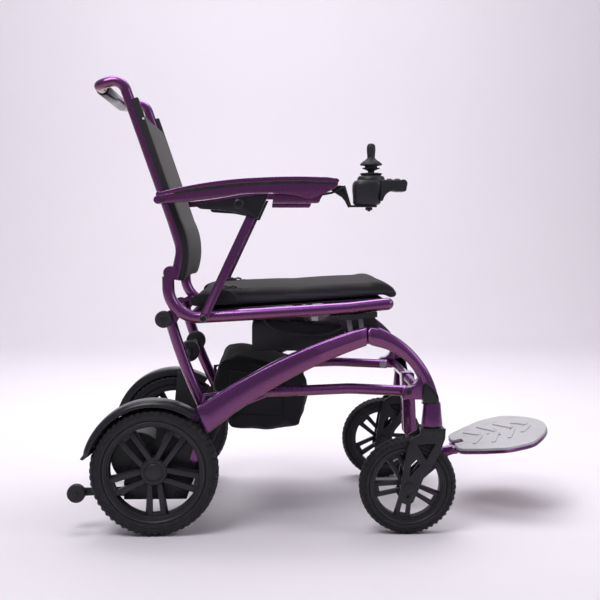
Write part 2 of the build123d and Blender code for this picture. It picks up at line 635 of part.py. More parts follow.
save("cross_tubes",
     rod(APEX, 12, -FRAME_IN + 9, FRAME_IN - 9),
     rod(REAR_TUBE, REAR_TUBE_R, -FRAME_IN, FRAME_IN),
     rod(DRIVE_TUBE, DRIVE_TUBE_R, -223, 223))
for name, side in SIDES.items():
    save(f"rear_beam_{name}", rear_beam(side))
    save(f"front_leg_{name}", front_leg(side))
    save(f"lower_link_{name}", lower_link(side))
    save(f"seat_rail_{name}", seat_rail(side))
    save(f"fender_{name}", fender(side))
    save(f"drive_rim_{name}", drive_rim(side))
    save(f"drive_tyre_{name}", wheel_at(tyre(DRIVE_R, DRIVE_RIM_R, DRIVE_WIDTH), 0, DRIVE_R, side))
    save(f"caster_fork_{name}", *caster_fork(side))
    save(f"caster_rim_{name}", caster_rim(side))
    save(f"caster_tyre_{name}", wheel_at(tyre(CASTER_R, CASTER_RIM_R, CASTER_WIDTH), WHEEL_BASE, CASTER_R, side))
    save(f"anti_tip_wheel_{name}", anti_tip_wheel(side))
    save(f"armrest_{name}", armrest(side))
    save(f"arm_clamp_{name}", arm_clamp(side))
    save(f"arm_strut_{name}", arm_strut(side))
save("leg_caps", *[leg_cap(side) for side in SIDES.values()])
save("link_guides", *[link_guide(side) for side in SIDES.values()])
save("link_pins", *[link_pin(side) for side in SIDES.values()])
save("motor_mounts", *[motor_mount(side) for side in SIDES.values()])
save("drive_motors", *[drive_motor(side) for side in SIDES.values()])
save("anti_tip_arms", *[anti_tip_arm(side) for side in SIDES.values()])
save("seat_struts", *[seat_strut(side) for side in SIDES.values()])
save("frame_pins", *[pin for side in SIDES.values() for pin in (*frame_pins(side), strut_bolt(side))])
save("seat_brackets", *[seat_bracket(side) for side in SIDES.values()])
save("seat_base", *seat_base())
save("seat_cushion", seat_cushion())
save("lap_belt", *[lap_belt(side) for side in SIDES.values()])
save("battery_box", battery_box())
save("battery_pack", battery_pack())
save("slide_bars", *[slide_bars(side) for side in SIDES.values()])
save("storage_bag", storage_bag())
save("transport_rollers", transport_roller(-110), transport_roller(110), rod(ROLLER_SHAFT, 7, -196, 196),
     *[side_buffer(side) for side in SIDES.values()])
save("seat_cable", seat_cable())
save("back_frame", back_frame())
save("push_grip", push_grip())
save("back_cover", back_cover())
save("controller_bracket", controller_bracket())
save("controller_pod", controller_pod())
for name, x in BUTTONS.items():
    save(name, button(x))
save("joystick_boot", joystick_boot())
save("gimbal_ring", gimbal_ring())
save("joystick", joystick())
save("footrest_hanger", footrest_hanger(), foot_pin())
plate, tray = footplate_parts()
save("footplate", plate)
save("footplate_frame", tray)
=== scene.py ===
import bpy
import bmesh
import json
import math
from mathutils import Matrix, Vector


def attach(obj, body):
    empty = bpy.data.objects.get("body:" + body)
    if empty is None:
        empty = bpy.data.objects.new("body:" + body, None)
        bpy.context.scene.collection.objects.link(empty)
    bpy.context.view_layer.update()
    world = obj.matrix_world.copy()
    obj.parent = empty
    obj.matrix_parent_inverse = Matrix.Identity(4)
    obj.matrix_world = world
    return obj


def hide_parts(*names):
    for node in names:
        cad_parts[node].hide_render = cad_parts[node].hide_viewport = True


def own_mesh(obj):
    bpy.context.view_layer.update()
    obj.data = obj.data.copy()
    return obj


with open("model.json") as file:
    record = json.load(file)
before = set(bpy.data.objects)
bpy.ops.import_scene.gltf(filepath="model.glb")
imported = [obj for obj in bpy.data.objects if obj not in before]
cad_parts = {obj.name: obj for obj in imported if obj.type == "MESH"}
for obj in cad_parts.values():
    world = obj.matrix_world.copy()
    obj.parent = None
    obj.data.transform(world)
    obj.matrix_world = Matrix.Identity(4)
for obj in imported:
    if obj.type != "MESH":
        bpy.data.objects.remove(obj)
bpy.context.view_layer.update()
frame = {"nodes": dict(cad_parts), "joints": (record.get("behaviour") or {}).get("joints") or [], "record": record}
nodes = frame["nodes"]
record = frame["record"]
body_of = {n: body for body, names in record["behaviour"]["bodies"].items() for n in names}
slot_of = {part["node"]: part["material_slot"] for part in record["subparts"]}
joint_at = {j["name"]: j["pos_m"] for j in frame["joints"] if "pos_m" in j}

# Sizes are written in millimetres, and X is measured from the drive axle, as in the CAD source.
MM = 0.001
SIDES = {"right": -1, "left": 1}
AXLE_X, HALF_TRACK, AXLE_Z = joint_at["drive_spin_left"]
WHEEL_BASE = joint_at["caster_spin_left"][0] - AXLE_X
CASTER_Z = joint_at["caster_spin_left"][2]


def row(x, y, z):
    """A point given in millimetres from the drive axle, in metres in the row frame."""
    return Vector((AXLE_X + x * MM, y * MM, z * MM))


# ---------------------------------------------------------------- shader maths

class Value:
    """A socket that takes arithmetic: each operator adds its Math node."""

    def __init__(self, tree, socket):
        self.tree = tree
        self.socket = socket

    def math(self, operation, *others):
        node = self.tree.nodes.new("ShaderNodeMath")
        node.operation = operation
        for slot, value in zip(node.inputs, (self, *others)):
            plug(self.tree, slot, value)
        return Value(self.tree, node.outputs[0])

    def __add__(self, other):
        return self.math("ADD", other)

    def __sub__(self, other):
        return self.math("SUBTRACT", other)

    def __mul__(self, other):
        return self.math("MULTIPLY", other)

    def __rsub__(self, other):
        return (self * -1.0).math("ADD", other)

    __radd__ = __add__
    __rmul__ = __mul__

    def sin(self):
        return self.math("SINE")

    def abs(self):
        return self.math("ABSOLUTE")

    def limit(self):
        return self.math("MAXIMUM", 0.0).math("MINIMUM", 1.0)

    def above(self, low, high):
        """0 below low, 1 above high, and straight between them."""
        return ((self - low) * (1.0 / (high - low))).limit()


def plug(tree, slot, value):
    """Give a socket a link or a plain value."""
    if isinstance(value, Value):
        tree.links.new(value.socket, slot)
    elif isinstance(value, bpy.types.NodeSocket):
        tree.links.new(value, slot)
    else:
        slot.default_value = value


class Finish:
    """One material, with the name of the record's slot kept beside it."""

    def __init__(self, name, slot):
        self.slot = slot
        self.material = bpy.data.materials.new(name)
        self.material.use_nodes = True
        self.tree = self.material.node_tree
        self.shader = self.tree.nodes["Principled BSDF"]

    def node(self, kind, settings=None, **inputs):
        """Add a node with its settings, then its inputs, whose names use _ for a space."""
        node = self.tree.nodes.new("ShaderNode" + kind)
        for key, value in (settings or {}).items():
            setattr(node, key, value)
        for key, value in inputs.items():
            plug(self.tree, node.inputs[key.replace("_", " ")], value)
        return node

    def place(self):
        return self.node("TexCoord").outputs["Object"]

    def axes(self, vector=None):
        """The X, Y and Z of a vector, Object coordinates by default."""
        split = self.node("SeparateXYZ", Vector=vector or self.place())
        return [Value(self.tree, out) for out in split.outputs]

    def noise(self, scale, detail=2.0, vector=None):
        node = self.node("TexNoise", Vector=vector or self.place(), Scale=scale, Detail=detail)
        return Value(self.tree, node.outputs["Fac"])

    def facing_up(self):
        normal = self.node("NewGeometry").outputs["Normal"]
        return self.axes(normal)[2]

    def mix(self, factor, a, b):
        node = self.node("Mix", {"data_type": "RGBA"})
        for slot, value in zip((0, 6, 7), (factor, a, b)):
            plug(self.tree, node.inputs[slot], value)
        return node.outputs[2]

    def bump(self, height, distance, strength=1.0):
        node = self.node("Bump", Height=height, Distance=distance, Strength=strength)
        plug(self.tree, self.shader.inputs["Normal"], node.outputs["Normal"])

    def set(self, **inputs):
        for key, value in inputs.items():
            plug(self.tree, self.shader.inputs[key.replace("_", " ")], value)
        return self


def rgb(red, green, blue):
    return (red, green, blue, 1.0)


def violet_paint():
    """Metallic lacquer coloured by facing: lilac on upward faces is a painted highlight, plum and gold-brown on
    downward faces are a painted reflection, and violet on the flanks is the paint's own colour; with fine flake.
    """
    f = Finish("violet_paint", "purple_paint")
    up = f.facing_up()
    flake = f.noise(2600.0, 1.0).above(0.52, 0.74)
    drift = f.noise(7.0, 2.0) - 0.5
    # Painted reflection: downward faces turn plum, and gold-brown where they face straight down.
    low = f.mix((up + drift * 0.3).above(-1.0, -0.55), rgb(0.190, 0.105, 0.060), rgb(0.185, 0.040, 0.100))
    flank = f.mix((up + drift * 0.3).above(-0.5, 0.1), low, rgb(0.118, 0.022, 0.125))
    # Painted highlight: upward faces turn lilac.
    top = f.mix((up + drift * 0.2).above(0.15, 0.9), flank, rgb(0.270, 0.080, 0.340))
    colour = f.mix(flake * 0.25, top, rgb(0.36, 0.17, 0.50))
    f.set(Base_Color=colour, Metallic=0.85, Roughness=f.noise(30.0) * 0.05 + 0.25,
          Coat_Weight=0.7, Coat_Roughness=0.05)
    f.bump(f.noise(420.0, 1.0), 0.00002, 0.06)
    return f


def powder_black():
    """Satin powder coat with a fine orange peel."""
    f = Finish("powder_black", "black_metal")
    tone = f.mix(f.noise(60.0), rgb(0.010, 0.010, 0.013), rgb(0.018, 0.017, 0.021))
    f.set(Base_Color=tone, Roughness=f.noise(220.0) * 0.12 + 0.36, Specular_IOR_Level=0.35)
    f.bump(f.noise(1500.0, 1.0), 0.00006, 0.35)
    return f


def moulded_black(name, slot, dark, light, rough, grain):
    """Moulded plastic with a spark-eroded grain."""
    f = Finish(name, slot)
    tone = f.mix(f.noise(45.0), rgb(*dark), rgb(*light))
    f.set(Base_Color=tone, Roughness=f.noise(300.0) * 0.1 + rough, Specular_IOR_Level=0.35)
    f.bump(f.noise(2200.0, 1.0), grain, 0.4)
    return f


def tread_rubber():
    """Tyre rubber, with random patches of dusty grey."""
    f = Finish("tread_rubber", "tyre")
    dust = (f.noise(90.0, 4.0) * 0.6 + f.noise(500.0, 1.0) * 0.4).above(0.45, 0.75)
    f.set(Base_Color=f.mix(dust, rgb(0.011, 0.010, 0.013), rgb(0.030, 0.028, 0.034)),
          Roughness=dust * 0.14 + 0.58, Specular_IOR_Level=0.3)
    f.bump(f.noise(900.0, 2.0), 0.00012, 0.4)
    return f


def grip_rubber():
    """Soft black rubber."""
    f = Finish("grip_rubber", "rubber")
    f.set(Base_Color=f.mix(f.noise(70.0), rgb(0.014, 0.013, 0.017), rgb(0.030, 0.028, 0.035)),
          Roughness=f.noise(350.0) * 0.12 + 0.46, Specular_IOR_Level=0.3)
    f.bump(f.noise(1800.0, 1.0), 0.00008, 0.4)
    return f


def mesh_fabric(name, dark, light, pitch, across=(1.0, 1.0, 0.0), along=(0.0, 1.0, 1.0), depth=0.0005):
    """Knitted spacer mesh: two crossing waves make small holes, along two directions in space."""
    f = Finish(name, "fabric")
    x, y, z = f.axes()
    turn = math.tau / pitch

    def wave(direction):
        a, b, c = direction
        return ((x * a + y * b + z * c) * turn).sin()

    knit = (wave(across) * wave(along)) * 0.5 + 0.5
    fuzz = f.noise(900.0, 3.0)
    shade = (knit * 0.75 + fuzz * 0.35).limit()
    f.set(Base_Color=f.mix(shade, rgb(*dark), rgb(*light)), Roughness=fuzz * 0.15 + 0.75,
          Sheen_Weight=0.12, Sheen_Roughness=0.5, Specular_IOR_Level=0.15)
    f.bump(knit + fuzz * 0.4, depth, 0.7)
    return f


def webbing(name, dark, light):
    """Woven strap: fine ribs across the strap's width."""
    f = Finish(name, "fabric")
    x, y, z = f.axes()
    ribs = ((x + z) * (math.tau / 0.0016)).sin() * 0.5 + 0.5
    threads = (y * (math.tau / 0.0012)).sin() * 0.5 + 0.5
    f.set(Base_Color=f.mix((ribs * 0.6 + threads * 0.4), rgb(*dark), rgb(*light)),
          Roughness=f.noise(400.0) * 0.1 + 0.7)
    f.bump(ribs + threads * 0.5, 0.0003, 0.6)
    return f


def bright_steel():
    f = Finish("bright_steel", "steel")
    f.set(Base_Color=f.mix(f.noise(40.0), rgb(0.50, 0.50, 0.52), rgb(0.68, 0.68, 0.70)), Metallic=1.0,
          Roughness=f.noise(500.0) * 0.12 + 0.22)
    f.bump(f.noise(1200.0, 1.0), 0.00003, 0.2)
    return f


def silver_satin():
    """Pale satin top of the footplate, with faint scuffs."""
    f = Finish("silver_satin", "silver")
    scuff = f.noise(24.0, 6.0).above(0.5, 0.8)
    f.set(Base_Color=f.mix(scuff, rgb(0.50, 0.49, 0.51), rgb(0.42, 0.41, 0.43)), Metallic=0.25,
          Roughness=scuff * 0.12 + 0.42)
    f.bump(f.noise(1600.0, 1.0), 0.00005, 0.3)
    return f


violet = violet_paint()
metal_black = powder_black()
plastic = moulded_black("plastic_black", "black_plastic", (0.012, 0.012, 0.015), (0.022, 0.021, 0.026), 0.36,
                        0.00005)
gloss = moulded_black("gloss_black", "black_plastic", (0.008, 0.008, 0.010), (0.014, 0.013, 0.017), 0.16,
                      0.00001)
satin = moulded_black("satin_black", "black_plastic", (0.011, 0.011, 0.013), (0.018, 0.017, 0.021), 0.24,
                      0.00002)
rim_black = moulded_black("rim_black", "rim_plastic", (0.014, 0.013, 0.017), (0.024, 0.022, 0.028), 0.34,
                          0.00004)
rubber = tread_rubber()
soft_rubber = grip_rubber()
top_cloth = mesh_fabric("seat_top_cloth", (0.011, 0.009, 0.011), (0.027, 0.022, 0.028), 0.0030, depth=0.0002)
side_cloth = mesh_fabric("seat_side_mesh", (0.005, 0.005, 0.008), (0.042, 0.043, 0.056), 0.0060,
                         (1.0, 0.0, 1.0), (1.0, 0.0, -1.0))
back_cloth = mesh_fabric("back_mesh", (0.014, 0.012, 0.013), (0.054, 0.045, 0.048), 0.0042,
                         (0.0, 1.0, 1.0), (0.0, 1.0, -1.0), depth=0.0003)
bag_cloth = mesh_fabric("bag_cloth", (0.007, 0.007, 0.009), (0.016, 0.015, 0.019), 0.0016, depth=0.0001)
strap_black = webbing("strap_black", (0.010, 0.010, 0.012), (0.030, 0.029, 0.034))
strap_grey = webbing("strap_grey", (0.16, 0.16, 0.18), (0.30, 0.30, 0.33))
steel = bright_steel()
silver = silver_satin()

SLOT_FINISH = {"purple_paint": violet, "black_metal": metal_black, "black_plastic": plastic,
               "rim_plastic": rim_black, "tyre": rubber, "rubber": soft_rubber, "fabric": bag_cloth,
               "steel": steel, "silver": silver}


# ---------------------------------------------------------------- mesh helpers

def sharp_edges(bm, degrees=30.0):
    limit = math.radians(degrees)
    return [e for e in bm.edges if len(e.link_faces) == 2 and e.calc_face_angle() > limit]


def ease(bm, width, segments=2, degrees=30.0, edges=None):
    """Round off the sharp edges of a bmesh, by a width in millimetres."""
    bmesh.ops.bevel(bm, geom=edges or sharp_edges(bm, degrees), offset=width * MM, offset_type="OFFSET",
                    segments=segments, profile=0.5, affect="EDGES", clamp_overlap=True, material=-1)


def make(name, bm, finish, body, stands_for=(), smooth=38.0, merge=True):
    """Finish a bmesh as a piece that rides on a body and may stand for CAD nodes."""
    if merge:
        bmesh.ops.remove_doubles(bm, verts=bm.verts, dist=0.01 * MM)
        bmesh.ops.recalc_face_normals(bm, faces=bm.faces)
    mesh = bpy.data.meshes.new(name)
    bm.to_mesh(mesh)
    bm.free()
    mesh.shade_smooth()
    mesh.set_sharp_from_angle(angle=math.radians(smooth))
    piece = bpy.data.objects.new(name, mesh)
    bpy.context.scene.collection.objects.link(piece)
    piece.data.materials.append(finish.material)
    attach(piece, body)
    if stands_for:
        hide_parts(*stands_for)
    return piece


def verts_in(geometry):
    """The vertices among an operator's mixed geometry."""
    return [g for g in geometry if isinstance(g, bmesh.types.BMVert)]


def slab(bm, outline, y_a, y_b):
    """Extrude a closed outline of (x, z) stops between two Y planes, and return its corners."""
    flat = [bm.verts.new(row(x, y_a, z)) for x, z in outline]
    face = bm.faces.new(flat)
    made = bmesh.ops.extrude_face_region(bm, geom=[face])["geom"]
    far = verts_in(made)
    bmesh.ops.translate(bm, verts=far, vec=(0, (y_b - y_a) * MM, 0))
    return flat + far


def arc(start, via, stop, steps=8):
    """Points along the circle through three (x, z) points, without the first."""
    (ax, az), (bx, bz), (cx, cz) = start, via, stop
    d = 2 * (ax * (bz - cz) + bx * (cz - az) + cx * (az - bz))
    ux = ((ax**2 + az**2) * (bz - cz) + (bx**2 + bz**2) * (cz - az) + (cx**2 + cz**2) * (az - bz)) / d
    uz = ((ax**2 + az**2) * (cx - bx) + (bx**2 + bz**2) * (ax - cx) + (cx**2 + cz**2) * (bx - ax)) / d
    r = math.hypot(ax - ux, az - uz)
    a0, a1, a2 = (math.atan2(z - uz, x - ux) for x, z in (start, via, stop))
    turn = (a2 - a0) % math.tau
    if (a1 - a0) % math.tau > turn:
        turn -= math.tau
    return [(ux + r * math.cos(a0 + turn * i / steps), uz + r * math.sin(a0 + turn * i / steps))
            for i in range(1, steps + 1)]


def path(*stops, steps=8):
    """An outline from (x, z) corners and (x, z, via_x, via_z) arcs, as the CAD outlines are written."""
    points = []
    for start, stop in zip((stops[-1], *stops[:-1]), stops):
        if len(stop) == 4:
            points += arc(start[:2], stop[2:], stop[:2], steps)
        else:
            points.append(stop)
    return points


def turned(bm, profile, centre, steps=48, axis=(0, 1, 0), start=(0, 0, 1), angle=math.tau):
    """Spin a closed profile of (radius, height) stops about an axis through a point."""
    axis, start = Vector(axis), Vector(start)
    verts = [bm.verts.new(centre + start * r * MM + axis * h * MM) for r, h in profile]
    edges = [bm.edges.new(pair) for pair in zip(verts, verts[1:] + verts[:1])]
    full = abs(angle - math.tau) < 1e-6
    made = bmesh.ops.spin(bm, geom=verts + edges, cent=centre, axis=axis, angle=angle, steps=steps,
                          use_merge=full)
    if not full:
        bm.faces.new(verts)
        last = verts_in(made["geom_last"])
        bm.faces.new(last)
    return bm


def side_turned(bm, profile, x, z, side, y=0.0, steps=48):
    """Spin about Y on one side of the chair; heights grow outwards from y."""
    return turned(bm, profile, row(x, side * y, z), steps, axis=(0, side, 0))


def bar(bm, points, radius, sides=16):
    """A round bar along row-frame points, joined by rings that follow its bends."""
    rings = []
    for i, point in enumerate(points):
        before, after = points[max(i - 1, 0)], points[min(i + 1, len(points) - 1)]
        turn = (after - before).to_track_quat("Z", "Y").to_matrix().to_4x4()
        ring = bmesh.ops.create_circle(bm, segments=sides, radius=radius * MM, cap_ends=i in (0,
                                                                                              len(points) - 1),
                                       matrix=Matrix.Translation(point) @ turn)
        rings.append(ring["verts"])
    for a, b in zip(rings, rings[1:]):
        edges = {e for v in (*a, *b) for e in v.link_edges
                 if (e.verts[0] in a and e.verts[1] in a) or (e.verts[0] in b and e.verts[1] in b)}
        bmesh.ops.bridge_loops(bm, edges=list(edges))
    return bm


def softened(node, width, finish=None, segments=2, degrees=32.0, name=None):
    """A copy of a hard CAD part with its facets merged and its edges rounded."""
    bm = bmesh.new()
    bm.from_mesh(nodes[node].data)
    bmesh.ops.remove_doubles(bm, verts=bm.verts, dist=0.02 * MM)
    bmesh.ops.dissolve_limit(bm, angle_limit=math.radians(0.8), verts=bm.verts, edges=bm.edges)
    ease(bm, width, segments, degrees)
    return make(name or node + "_shell", bm, finish or SLOT_FINISH[slot_of[node]], body_of[node], (node,))


def plump(piece, cap, still=None, pressure=4.0, voxel=0.005, frames=20):
    """Swell a closed form with cloth pressure, moving no point further than cap, and freeze the result."""
    scene = bpy.context.scene
    remesh = piece.modifiers.new("remesh", "REMESH")
    remesh.mode = "VOXEL"
    remesh.voxel_size = voxel
    freeze(piece)
    rest = [v.co.copy() for v in piece.data.vertices]
    cloth = piece.modifiers.new("cloth", "CLOTH")
    cloth.settings.use_pressure = True
    cloth.settings.uniform_pressure_force = pressure
    cloth.settings.effector_weights.gravity = 0.0
    cloth.settings.quality = 4
    for step in range(1, frames + 1):
        scene.frame_set(step)
    freeze(piece)
    scene.frame_set(1)
    for v, start in zip(piece.data.vertices, rest):
        move = v.co - start
        move *= min(1.0, cap * MM / max(move.length, 1e-9))
        v.co = start + move * (still(start) if still else 1.0)
    smooth = piece.modifiers.new("smooth", "SMOOTH")
    smooth.iterations = 4
    freeze(piece)
    piece.data.shade_smooth()
    return piece


def freeze(piece):
    """Apply every modifier of a piece."""
    graph = bpy.context.evaluated_depsgraph_get()
    mesh = bpy.data.meshes.new_from_object(piece.evaluated_get(graph))
    piece.modifiers.clear()
    old = piece.data
    piece.data = mesh
    bpy.data.meshes.remove(old)


def crease(piece, depth, width, distance):
    """Press a seam into a soft piece along the line where distance(point) is zero."""
    for v in piece.data.vertices:
        gap = distance(v.co)
        if gap is not None and abs(gap) < 3 * width * MM:
            v.co -= v.normal * depth * MM * math.exp(-(gap / (width * MM)) ** 2)


# ---------------------------------------------------------------- wheels

def wheel_place(side, x, z):
    """Where a wheel part, modelled about the Y axis with its outside to +Y, goes on the chair."""
    turn = Matrix.Rotation(math.pi, 4, "Z") if side < 0 else Matrix.Identity(4)
    return Matrix.Translation(row(x, side * HALF_TRACK / MM, z)) @ turn


def tyre(name, side, x, z, radius, seat, half, blocks):
    """Moulded tyre: ribbed flank, and a raised block pattern on the crown and both shoulders."""
    crown = radius - 2.1
    edge = [(seat - 0.5, half - 4), (seat + 2, half - 1), (seat + 5, half - 0.3), (seat + 8, half),
            (seat + 9, half - 0.9), (seat + 11, half - 1), (seat + 12.5, half - 0.3), (crown - 9, half - 0.6),
            (crown - 4.5, half - 2.4), (crown - 1.6, half - 6.4), (crown - 0.5, half - 12.5),
            (crown, half * 0.22)]
    profile = edge + [(r, -y) for r, y in reversed(edge)]
    bm = bmesh.new()
    turned(bm, profile, Vector((0, 0, 0)), steps=blocks * 2)
    bm.normal_update()
    step = math.tau / (blocks * 2)
    shoulder, middle = [], []
    for face in bm.faces:
        c = face.calc_center_median()
        reach = math.hypot(c.x, c.z) / MM
        index = int((math.atan2(c.x, c.z) % math.tau) / step)
        side_on = abs(c.y) / MM > half * 0.22
        if crown - 9 < reach and side_on and (index + (c.y > 0)) % 2:
            shoulder.append(face)
        elif crown - 1 < reach and not side_on:
            middle.append(face)
    bmesh.ops.inset_region(bm, faces=shoulder, thickness=0.3 * MM, depth=2.2 * MM, use_even_offset=False)
    bmesh.ops.inset_individual(bm, faces=middle, thickness=0.7 * MM, depth=1.6 * MM)
    bmesh.ops.transform(bm, matrix=wheel_place(side, x, z), verts=bm.verts)
    node = name
    return make(node + "_tread", bm, rubber, body_of[node], (node,), smooth=28.0)


def spoke_pair(bm, angle, hub, rim, hub_gap, rim_gap, hub_width, rim_width, y_in, y_hub, y_rim):
    """Two flat bars that spread from the hub to the rim, and the web that joins them there."""
    before = set(bm.verts)
    turn = Matrix.Rotation(-math.radians(angle), 4, "Y")
    for sign in (1, -1):
        flat = [(hub, hub_gap), (rim, rim_gap), (rim, rim_gap + rim_width), (hub, hub_gap + hub_width)]
        low = [bm.verts.new(Vector((r * MM, y_in * MM, sign * t * MM))) for r, t in flat]
        made = bmesh.ops.extrude_face_region(bm, geom=[bm.faces.new(low)])["geom"]
        for v in made:
            if isinstance(v, bmesh.types.BMVert):
                at_hub = v.co.x < (hub + rim) / 2 * MM
                outer = abs(v.co.z) > (hub_gap + hub_width / 2 if at_hub else rim_gap + rim_width / 2) * MM
                v.co.y = (y_hub if at_hub else y_rim) * MM
                v.co.z -= sign * (0.32 * rim_width * MM if outer and not at_hub else 0)
    web = [(rim - 10, -rim_gap - 2), (rim + 1, -rim_gap - 2), (rim + 1, rim_gap + 2), (rim - 10, rim_gap + 2)]
    low = [bm.verts.new(Vector((r * MM, y_in * MM, t * MM))) for r, t in web]
    face = bm.faces.new(low)
    far = verts_in(bmesh.ops.extrude_face_region(bm, geom=[face])["geom"])
    bmesh.ops.translate(bm, verts=far, vec=(0, (y_rim - 1.5 - y_in) * MM, 0))
    fresh = [v for v in bm.verts if v not in before]
    bmesh.ops.transform(bm, matrix=turn, verts=fresh)


def drive_rim(side, name):
    node = "drive_rim_" + name
    bm = bmesh.new()
    for i in range(5):
        spoke_pair(bm, 180 - (57 + 72 * i), 22, 94, 4.6, 8.5, 10.5, 16.5, -3, 13.5, 9)
    bmesh.ops.recalc_face_normals(bm, faces=bm.faces)
    ease(bm, 1.3, 2)
    turned(bm, [(92, -21), (104.8, -21), (104.8, 20.5), (103.6, 21.6), (101.2, 21.6), (99.8, 20.6),
                (99.3, 17.4), (96.2, 16.6), (95.2, 15.2), (94.8, 11.2), (92.6, 10.2), (92, 9)],
           Vector((0, 0, 0)), 120)
    turned(bm, [(10.2, -21.8), (28, -21.8), (28.5, 6), (27.6, 11.5), (25.8, 14.6), (24.8, 15.9), (22.6, 16.3),
                (20.6, 15.6), (19.4, 14.1), (17.6, 14), (16.9, 15.3), (15.6, 16.2), (8, 16.9), (0.01, 17.1),
                (0.01, 11.9), (10.2, 11.9)], Vector((0, 0, 0)), 64)
    bmesh.ops.transform(bm, matrix=wheel_place(side, 0, AXLE_Z / MM), verts=bm.verts)
    return make(node + "_spokes", bm, rim_black, body_of[node], (node,), smooth=32.0)


def caster_rim(side, name):
    node = "caster_rim_" + name
    bm = bmesh.new()
    for i in range(5):
        spoke_pair(bm, 180 - (44 + 72 * i), 12, 69, 3.6, 6.5, 7.8, 12.0, -5, 9, 6)
    bmesh.ops.recalc_face_normals(bm, faces=bm.faces)
    ease(bm, 1.0, 2)
    turned(bm, [(67, -18), (78.8, -18), (78.8, 17), (77.8, 18), (75.6, 18), (74.6, 17.2), (74.2, 14.4),
                (71, 13.6), (70.2, 12), (69.8, 8), (67.6, 7.2), (67, 6)], Vector((0, 0, 0)), 96)
    turned(bm, [(6.1, -20), (15, -20), (16, -19), (16, 19), (15, 20), (6.1, 20)], Vector((0, 0, 0)), 40)
    bmesh.ops.transform(bm, matrix=wheel_place(side, WHEEL_BASE / MM, CASTER_Z / MM), verts=bm.verts)
    return make(node + "_spokes", bm, rim_black, body_of[node], (node,), smooth=32.0)


# ---------------------------------------------------------------- fenders and side frames

def fender(side, name):
    """Mudguard with a rounded shoulder, a rolled lip, an inboard flange and a flared tail."""
    node = "fender_" + name
    bm = bmesh.new()
    profile = [(130, -25.4), (145.2, -25.4), (147.4, -23.5), (148, -19), (148, 14), (147, 20), (144.5, 25),
               (141, 27.6), (137.6, 28.6), (135.2, 28.2), (135, 26.4), (137.4, 26), (140, 24.4), (143, 19.6),
               (144.6, 14), (144.8, -21), (144, -23), (130, -23.2)]
    low, high = math.radians(163), math.radians(56)
    start = Vector((math.cos(low), 0, math.sin(low)))
    centre = Vector((0, 0, 0))
    verts = [bm.verts.new(start * r * MM + Vector((0, side * y * MM, 0))) for r, y in profile]
    edges = [bm.edges.new(pair) for pair in zip(verts, verts[1:] + verts[:1])]
    tail = bm.faces.new(verts)
    for step in range(4):
        tail = bmesh.ops.extrude_discrete_faces(bm, faces=[tail])["faces"][0]
        bmesh.ops.translate(bm, verts=tail.verts, vec=Vector((-1.3 - 0.9 * step, 0, -3.6)) * MM)
        middle = tail.calc_center_median()
        for v in tail.verts:
            v.co = middle + (v.co - middle) * 0.86
    made = bmesh.ops.spin(bm, geom=verts + edges, cent=centre, axis=(0, 1, 0), angle=low - high, steps=44)
    bm.faces.new(verts_in(made["geom_last"]))
    bmesh.ops.translate(bm, verts=bm.verts, vec=row(0, side * HALF_TRACK / MM, AXLE_Z / MM))
    make(node + "_guard", bm, satin, "main_frame", (node,), smooth=50.0)


def ridged(bm, top, bottom, side, y_in, y_out, ridge):
    """Loft a box section between two edge lines, with a crease along its outer face."""
    rings = []
    for (tx, tz), (bx, bz) in zip(top, bottom):
        across = [(0.06, y_in), (0.0, y_in + 4), (0.0, y_out - 9), (0.07, y_out - 4.5), (ridge, y_out),
                  (0.93, y_out - 5), (1.0, y_out - 9.5), (1.0, y_in + 4), (0.94, y_in)]
        rings.append([bm.verts.new(row(bx + (tx - bx) * t, side * y, bz + (tz - bz) * t)) for t, y in across])
    bm.faces.new(rings[0])
    bm.faces.new(rings[-1])
    for a, b in zip(rings, rings[1:]):
        loop_a = [bm.edges.get(p) or bm.edges.new(p) for p in zip(a, a[1:] + a[:1])]
        loop_b = [bm.edges.get(p) or bm.edges.new(p) for p in zip(b, b[1:] + b[:1])]
        bmesh.ops.bridge_loops(bm, edges=loop_a + loop_b)
    return bm


def beam(side, name):
    """Arched rear beam with the crease along its flank, its apex lug, and the foot plate behind the wheel."""
    node = "rear_beam_" + name
    bm = bmesh.new()
    top = [(87, 261)] + arc((87, 261), (256, 360), (432, 425.4), 24)
    bottom = [(112, 210)] + arc((112, 210), (277, 320), (432, 387.4), 24)
    ridged(bm, top, bottom, side, 240, 271, 0.47)
    slab(bm, path((406, 390), (453, 387), (453, 423, 471, 405), (406, 412)), side * 231, side * 239.5)
    slab(bm, [(430, 389), (437, 389), (437, 423), (430, 423)], side * 239, side * 240.6)
    ease(bm, 1.4, 2, 34)
    make(node + "_body", bm, violet, "main_frame", (node,), smooth=30.0)
    bm = bmesh.new()
    slab(bm, path((84, 196), (70, 150), (82, 132), (108, 206), (110, 240, 112, 226), (96, 246, 106, 246)),
         side * 229.2, side * 232.6)
    ease(bm, 1.0, 2)
    make("beam_foot_" + name, bm, violet, "main_frame")


